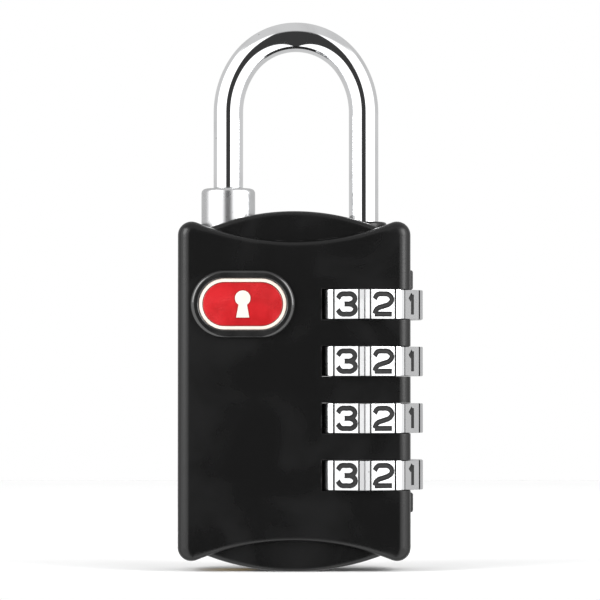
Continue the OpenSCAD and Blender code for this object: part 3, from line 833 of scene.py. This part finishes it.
def makeBezel():
    b = badge
    face, front = -lock["halfThick"], -lock["halfThick"] - b["out"]
    bm = bmesh.new()
    push(bm, stadium(bm, 0, face), (0, front - face, 0))
    piece = asObject(bm, "badge_bezel", badgeBlack)
    reshape(piece, lambda bm: soften(bm, frontEdges(bm, front), b["edgeRound"], 6))
    pocket = bmesh.new()
    push(pocket, stadium(pocket, b["rim"], front - 1), (0, 1 + b["out"] - b["floorThick"], 0))
    shape(piece, "DIFFERENCE", [asObject(pocket)])
    lip = bmesh.new()
    push(lip, stadium(lip, b["lipInset"], face + b["lipDeep"]), (0, -b["lipThick"], 0))
    shape(piece, "UNION", [asObject(lip)])
    reshape(piece, lambda bm: soften(bm, frontEdges(bm, front, 1), b["rimInnerRound"], 3))
    return piece


# from the bezel's floor to its front, sunk below it
def badgeDepths(sunk):
    return -lock["halfThick"] - badge["floorThick"], -lock["halfThick"] - badge["out"] + sunk


def stadiumBlock(name, inset, sunk, edgeRound, finish):
    floor, front = badgeDepths(sunk)
    bm = bmesh.new()
    push(bm, stadium(bm, inset, floor), (0, front - floor, 0))
    soften(bm, frontEdges(bm, front), edgeRound, 3)
    return asObject(bm, name, finish)


def keyholeBlock(name, grow, sunk, edgeRound, finish):
    b = badge
    floor, front = badgeDepths(sunk)
    x, z = lock["badgeX"], dialHeights[0]
    head, middle = b["headRadius"] + grow, z + b["headUp"]
    reach = math.radians(b["footMeets"])  # where the foot meets the round head, from straight down
    corner = (x - head * math.sin(reach), floor, middle - head * math.cos(reach))
    foot, low = b["footHalf"] + grow, z - b["footDown"] - grow
    bm = bmesh.new()
    vert = arc(bm, startAt(bm, corner), (x, floor, middle), 360 - 2 * b["footMeets"], 28)
    runTo(bm, vert, (x + foot, floor, low), (x - foot, floor, low), corner)
    push(bm, closeOutline(bm), (0, front - floor, 0))
    if edgeRound:
        soften(bm, frontEdges(bm, front), edgeRound, 2)
    return asObject(bm, name, finish)


settle(makeBezel(), "housing", ["emblem_bezel"])
ring = stadiumBlock("badge_ring", badge["ringInset"], badge["ringSunk"], badge["ringRound"], creamEnamel)
shape(ring, "DIFFERENCE", [stadiumBlock("tool", badge["ringInner"], -1, 0.01, creamEnamel)])
settle(ring, "housing", ["emblem_border"])
field = stadiumBlock("badge_field", badge["fieldInset"], badge["enamelSunk"], badge["fieldRound"], redEnamel)
shape(field, "DIFFERENCE", [keyholeBlock("tool", badge["keyholeGap"], -1, 0, redEnamel)])
settle(field, "housing", ["emblem_inlay"])
keyhole = keyholeBlock("badge_keyhole", 0, badge["keyholeSunk"], badge["keyholeRound"], creamEnamel)
settle(keyhole, "housing", ["emblem_keyhole"])

# what stays as built, inside the body

insideFinishes = {
    "housing_pins": springSteel, "cylinder_housing": brass, "key_plug": brass, "wafers": brass,
    "wafer_springs": springSteel, "plug_clip": springSteel, "release_cam": zinc, "collar_spring": springSteel,
    "detent_spring": springSteel, "spring_seat": zinc, "sleeve_spring": springSteel,
    "shackle_spring": springSteel,
    "code_sleeve_1": zinc, "code_sleeve_2": zinc, "code_sleeve_3": zinc, "code_sleeve_4": zinc,
}
for nodeName, finish in insideFinishes.items():
    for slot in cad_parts[nodeName].material_slots:
        slot.material = finish
print("inside parts finished")

# floor, light and camera

studio = {
    "open": 1.7, "behind": 0.6, "overhead": 0.62, "dark": 0.045,
    "stripe": (0.25, 0.33), "stripeTop": (0.62, 0.78),
    "floorReach": 0.25, "floorFront": 0.06,
    "lamps": {"left softbox": (-0.5, -0.35, 0.25), "right softbox": (0.5, -0.35, 0.2)},
    "lampAim": (0, 0, -0.04), "lampSize": (0.35, 0.5), "lampWatts": 3.0,
    "lens": 207.2, "cameraSpot": (0.75, -450, 23.5), "cameraAim": (0.75, 0, 35.1),  # spots in mm
}


def makeFloor():
    s = studio
    bm = bmesh.new()
    bmesh.ops.create_grid(bm, x_segments=8, y_segments=8, size=s["floorReach"])
    bmesh.ops.translate(bm, vec=(0, s["floorReach"] - s["floorFront"], rearLow.z), verts=bm.verts[:])
    finish, tree, shader = newFinish("studio floor", Roughness=0.9)
    pale = useGroup(tree, grainGroup, Scale=400.0)["Height"]
    tree.links.new(blendColour(tree, pale, grey(0.93), grey(0.96)), shader.inputs["Base Color"])
    clear = addNode(tree, "ShaderNodeBsdfTransparent").outputs[0]
    under = addNode(tree, "ShaderNodeNewGeometry").outputs["Backfacing"]  # the foot shows from below
    shown = addNode(tree, "ShaderNodeMixShader", {0: under, 1: shader.outputs[0], 2: clear}).outputs[0]
    tree.links.new(shown, tree.nodes["Material Output"].inputs["Surface"])
    floor = asObject(bm, "floor", finish)
    if floor.data.polygons[0].normal.z < 0:
        floor.data.flip_normals()  # an open sheet may come out face down
    floor.visible_glossy = False


# a bright room with a dark stripe behind the camera, which the chrome mirrors; the camera sees plain white
def makeRoom():
    s = studio
    world = bpy.data.worlds.new("studio room")
    bpy.context.scene.world = world
    world.use_nodes = True
    tree = world.node_tree
    tree.nodes.clear()
    spot = addNode(tree, "ShaderNodeTexCoord").outputs["Generated"]
    parts = addNode(tree, "ShaderNodeSeparateXYZ", {0: spot}).outputs
    toward = math2(tree, "MULTIPLY", parts["Y"], -1.0)
    swing = math2(tree, "ABSOLUTE", math2(tree, "ARCTAN2", parts["X"], toward))
    behind = remap(tree, parts["Y"], -0.1, 0.3)
    sideLevel = remap(tree, behind, 0, 1, s["open"], s["behind"])
    walls = math2(tree, "MULTIPLY", remap(tree, swing, *s["stripe"]), sideLevel)
    above = remap(tree, parts["Z"], *s["stripeTop"])
    mixed = addNode(tree, "ShaderNodeMix", {0: above, 2: walls, 3: s["overhead"]}).outputs[0]
    level = math2(tree, "ADD", mixed, s["dark"])
    room = addNode(tree, "ShaderNodeBackground", {"Color": (1, 1, 1, 1), "Strength": level})
    plain = addNode(tree, "ShaderNodeBackground", {"Color": (1, 1, 1, 1), "Strength": 1.0})
    seen = addNode(tree, "ShaderNodeLightPath").outputs["Is Camera Ray"]
    mixed = addNode(tree, "ShaderNodeMixShader", {0: seen, 1: room.outputs[0], 2: plain.outputs[0]})
    put = addNode(tree, "ShaderNodeOutputWorld")
    tree.links.new(mixed.outputs[0], put.inputs[0])


def turnTo(thing, spot, aim):
    bpy.context.scene.collection.objects.link(thing)
    thing.location = spot
    thing.rotation_euler = (Vector(aim) - thing.location).to_track_quat("-Z", "Y").to_euler()


def makeLamp(name, spot):
    lamp = bpy.data.lights.new(name, "AREA")
    lamp.shape = "RECTANGLE"
    lamp.size, lamp.size_y = studio["lampSize"]
    lamp.energy = studio["lampWatts"]
    turnTo(bpy.data.objects.new(name, lamp), spot, studio["lampAim"])


def makeCamera():
    lens = bpy.data.cameras.new("camera")
    lens.sensor_width = 36
    lens.lens = studio["lens"]
    lens.dof.use_dof = False
    lens.clip_start = 0.01
    thing = bpy.data.objects.new("camera", lens)
    turnTo(thing, place @ Vector(studio["cameraSpot"]), place @ Vector(studio["cameraAim"]))
    bpy.context.scene.camera = thing


makeFloor()
makeRoom()
for lampName, spot in studio["lamps"].items():
    makeLamp(lampName, spot)
makeCamera()
bpy.context.scene.view_settings.view_transform = "Standard"
print("studio made")
